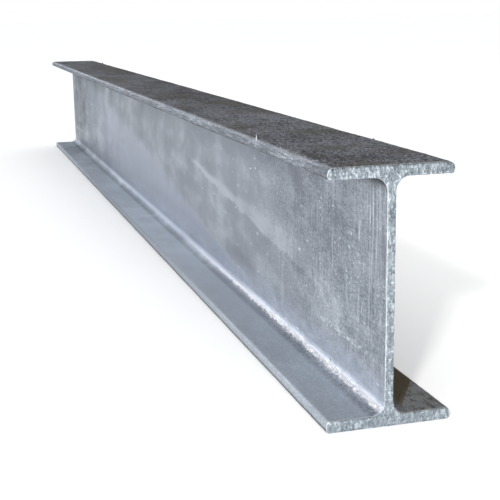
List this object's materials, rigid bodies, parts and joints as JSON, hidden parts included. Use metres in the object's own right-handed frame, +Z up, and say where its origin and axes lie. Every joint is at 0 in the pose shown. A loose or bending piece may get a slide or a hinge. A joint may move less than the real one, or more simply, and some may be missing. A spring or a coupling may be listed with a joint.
{
  "type": "steel i-beam",
  "caption": "Straight length of hot-dip galvanised rolled steel I-beam with parallel flanges, filleted roots and square sawn ends, for use as a joist, lintel or post.",
  "frame": {"origin": "centre of the bottom face of the bottom flange, at mid length", "axes": "+X along the beam, +Y across the flanges, +Z up through the depth of the section"},
  "size_m": [1.4, 0.075, 0.15],
  "materials": {
    "galvanised_steel": "hot-dip galvanised, dull zinc grey with soft mottle, drain streaks and small runs"
  },
  "bodies": {
    "root": {"i_beam": "galvanised_steel"}
  },
  "joints": []
}
